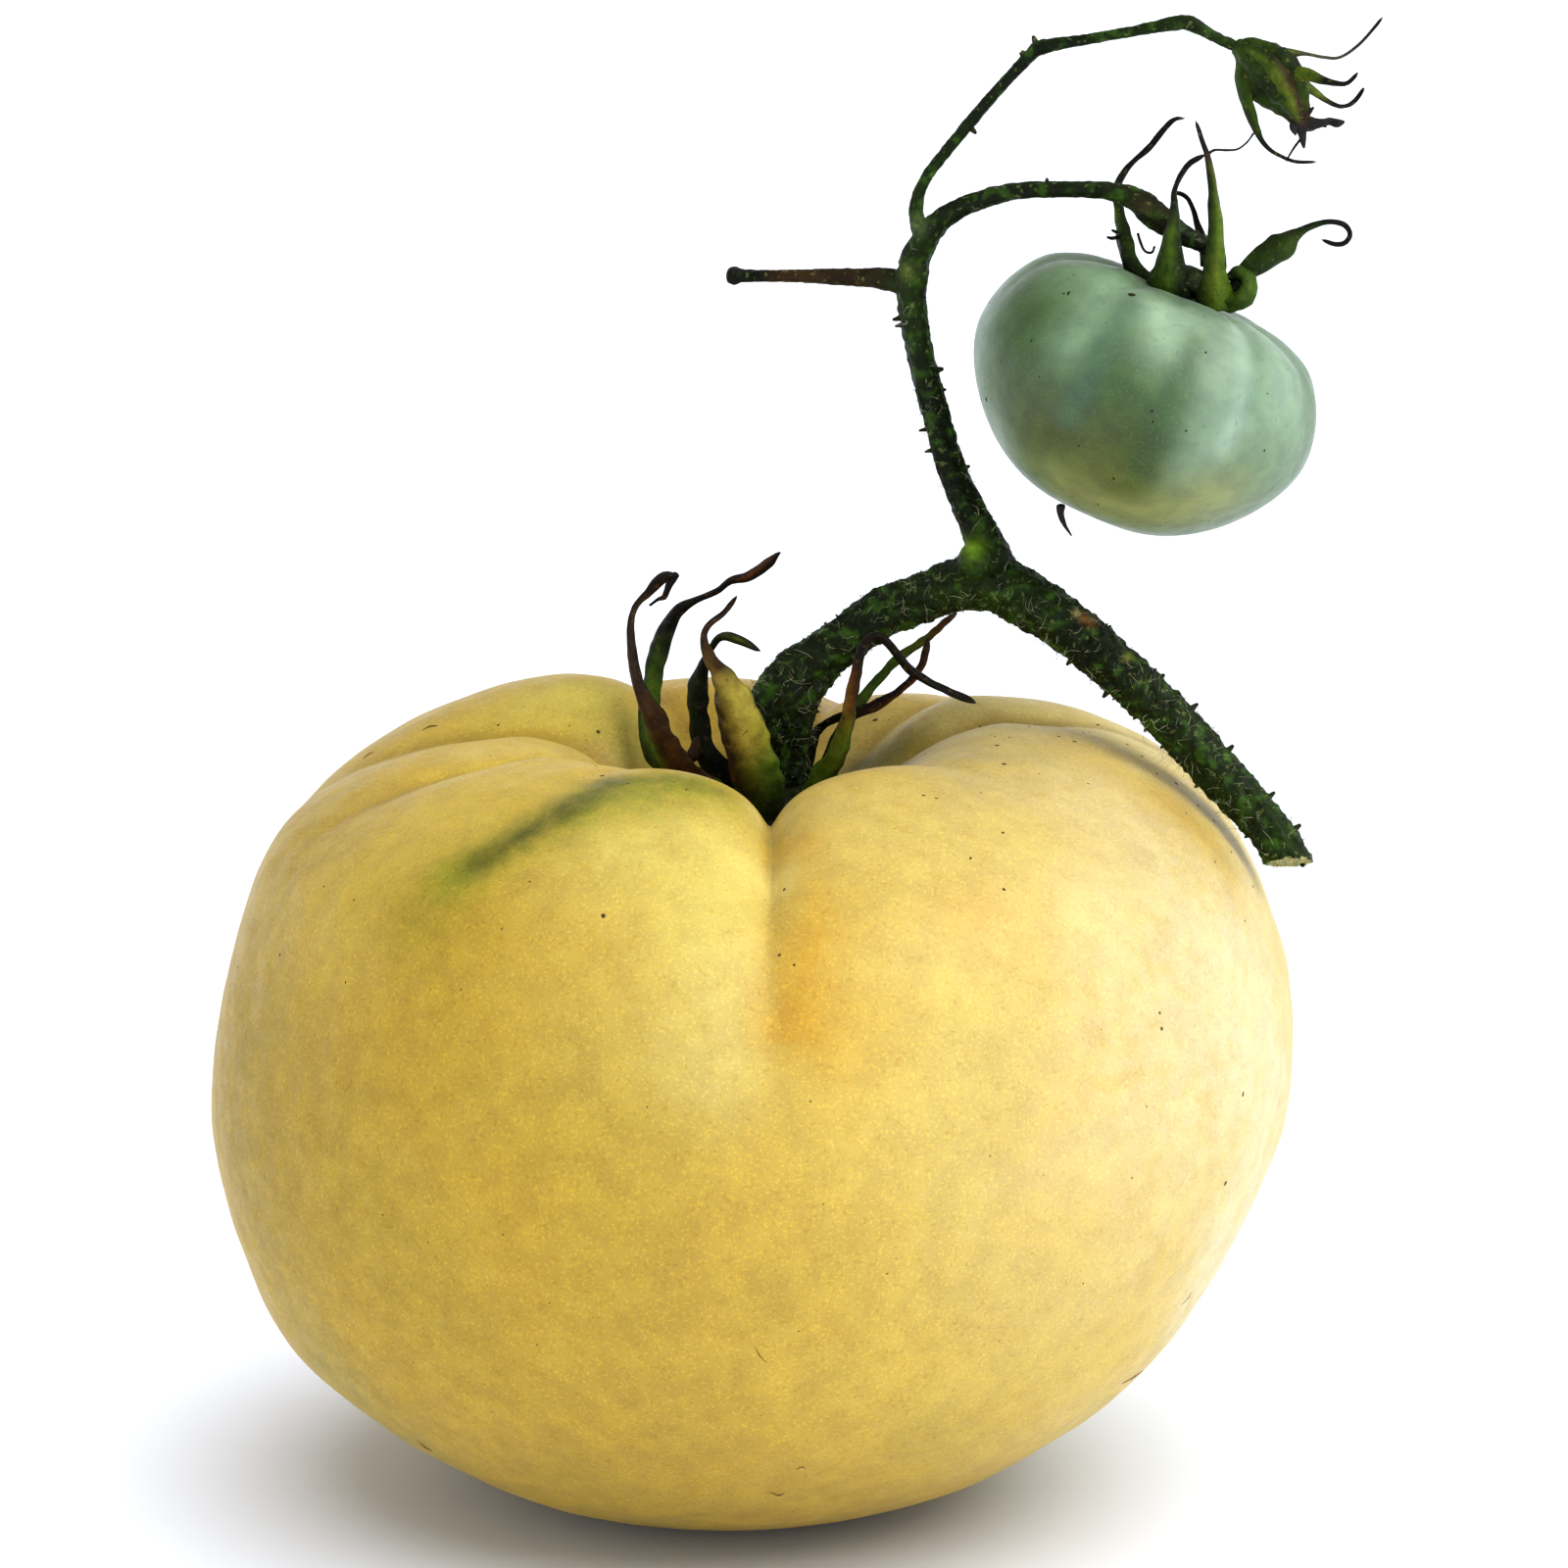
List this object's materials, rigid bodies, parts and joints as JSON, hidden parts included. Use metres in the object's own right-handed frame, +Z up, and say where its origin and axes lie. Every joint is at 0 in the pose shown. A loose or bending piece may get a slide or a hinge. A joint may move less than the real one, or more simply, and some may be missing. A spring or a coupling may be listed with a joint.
{
  "type": "white tomesol tomato",
  "caption": "Pale yellow-white beefsteak tomato standing on its blossom end, with its calyx and a piece of truss that carries a small unripe fruit and a withered flower.",
  "frame": {"origin": "on the floor, at the middle of the flat resting spot under the ripe fruit", "axes": "+Z up, -Y towards the front that the picture shows, +X to the right of that view, where the unripe fruit hangs"},
  "size_m": [0.0963, 0.0864, 0.1249],
  "materials": {
    "ripe_skin": "smooth waxy skin with a fine velvety bloom, pale yellow with a green shade on the left shoulder",
    "unripe_skin": "smooth blue-green skin with a pale bloom and darker stripes",
    "stem": "dark green, covered with short pale hairs",
    "ripe_sepals": "matte green drying to brown at the tips, finely haired",
    "unripe_sepals": "matte green with dark thread-thin tips",
    "flower_sepals": "matte olive green, finely haired",
    "dried_flower": "dry and dark brown"
  },
  "bodies": {
    "root": {"tomato": "ripe_skin", "green_tomato": "unripe_skin", "truss_stem": "stem", "tomato_calyx": "ripe_sepals", "green_calyx": "unripe_sepals", "flower_calyx": "flower_sepals", "flower_petals": "dried_flower", "dried_style": "dried_flower"}
  },
  "joints": []
}
